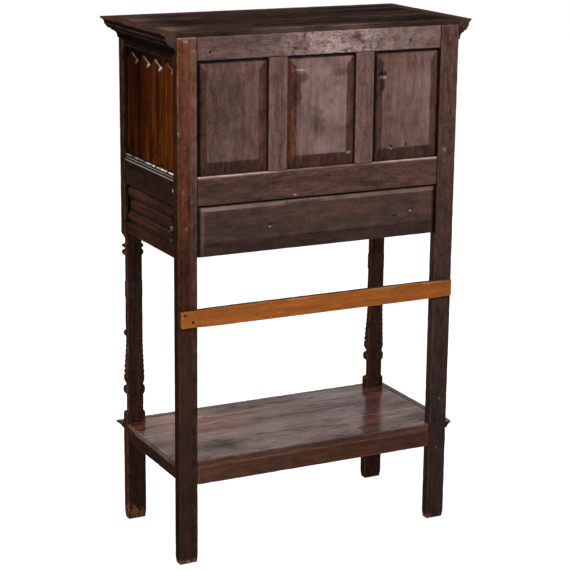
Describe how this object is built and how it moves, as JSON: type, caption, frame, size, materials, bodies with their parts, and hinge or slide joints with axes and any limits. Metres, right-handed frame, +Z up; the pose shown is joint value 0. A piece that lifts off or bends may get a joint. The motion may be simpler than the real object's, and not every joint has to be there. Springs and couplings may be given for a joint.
{
  "type": "cabinet on stand",
  "caption": "Period oak cabinet on an open post stand with linenfold panels, hinged doors over a drawer, a low shelf and a nailed back batten.",
  "frame": {"origin": "floor level under the centre of the overall box", "axes": "+Z up, the front with doors and drawer faces -Y, +X to the right for someone facing the front"},
  "size_m": [0.822, 0.4022, 1.3],
  "materials": {
    "dark_oak": "dark stained, waxed, worn",
    "shelf_oak": "stained, rubbed and greyed on top",
    "pale_batten": "orange-brown varnish",
    "inner_oak": "raw, aged",
    "wrought_iron": "blackened"
  },
  "bodies": {
    "carcass": {"back_batten": "pale_batten", "back_lower_panel": "dark_oak", "back_mid_rail": "dark_oak", "back_muntin_left": "dark_oak", "back_muntin_right": "dark_oak", "back_panel_centre": "dark_oak", "back_panel_left": "dark_oak", "back_panel_right": "dark_oak", "back_top_rail": "dark_oak", "batten_nails": "wrought_iron", "cabinet_floor": "inner_oak", "cornice_front": "dark_oak", "cornice_left": "dark_oak", "cornice_right": "dark_oak", "door_stops": "inner_oak", "drawer_runner_left": "inner_oak", "drawer_runner_right": "inner_oak", "front_bottom_rail": "dark_oak", "front_centre_panel": "dark_oak", "front_mid_rail": "dark_oak", "front_stile_left": "dark_oak", "front_stile_right": "dark_oak", "front_top_rail": "dark_oak", "hinge_pintles": "wrought_iron", "post_front_left": "dark_oak", "post_front_right": "dark_oak", "post_rear_left": "dark_oak", "post_rear_right": "dark_oak", "shelf_moulding_front": "dark_oak", "shelf_moulding_left": "dark_oak", "shelf_plank_front": "shelf_oak", "shelf_plank_rear": "shelf_oak", "shelf_rail_front": "dark_oak", "shelf_rail_left": "dark_oak", "shelf_rail_rear": "dark_oak", "shelf_rail_right": "dark_oak", "side_linenfold_left": "dark_oak", "side_linenfold_right": "dark_oak", "side_lower_panel_left": "dark_oak", "side_lower_panel_right": "dark_oak", "side_mid_rail_left": "dark_oak", "side_mid_rail_right": "dark_oak", "side_top_rail_left": "dark_oak", "side_top_rail_right": "dark_oak", "top_board": "dark_oak"},
    "door_left": {"door_left": "dark_oak", "door_straps_left": "wrought_iron"},
    "latch_left": {"latch_knob_left": "wrought_iron", "latch_bar_left": "wrought_iron"},
    "door_right": {"door_right": "dark_oak", "door_straps_right": "wrought_iron"},
    "latch_right": {"latch_knob_right": "wrought_iron", "latch_bar_right": "wrought_iron"},
    "drawer": {"drawer_front": "dark_oak", "drawer_side_left": "inner_oak", "drawer_side_right": "inner_oak", "drawer_back": "inner_oak", "drawer_bottom": "inner_oak", "ring_plate": "wrought_iron"},
    "ring": {"drawer_ring": "wrought_iron"}
  },
  "joints": [
    {"name": "door_left_hinge", "type": "hinge", "parent": "carcass", "child": "door_left", "pos_m": [-0.326, -0.1731, 1.0975], "axis": [0, 0, -1], "range_deg": [0, 165]},
    {"name": "door_right_hinge", "type": "hinge", "parent": "carcass", "child": "door_right", "pos_m": [0.326, -0.1731, 1.0975], "axis": [0, 0, 1], "range_deg": [0, 165]},
    {"name": "latch_left_turn", "type": "hinge", "parent": "door_left", "child": "latch_left", "pos_m": [-0.16667, -0.1671, 1.0975], "axis": [0, 1, 0], "range_deg": [0, 90]},
    {"name": "latch_right_turn", "type": "hinge", "parent": "door_right", "child": "latch_right", "pos_m": [0.16667, -0.1671, 1.0975], "axis": [0, -1, 0], "range_deg": [0, 90]},
    {"name": "drawer_slide", "type": "slide", "parent": "carcass", "child": "drawer", "axis": [0, -1, 0], "range_m": [0, 0.24]},
    {"name": "ring_swing", "type": "hinge", "parent": "drawer", "child": "ring", "pos_m": [0, -0.1737, 0.8618], "axis": [-1, 0, 0], "range_deg": [0, 165]}
  ]
}
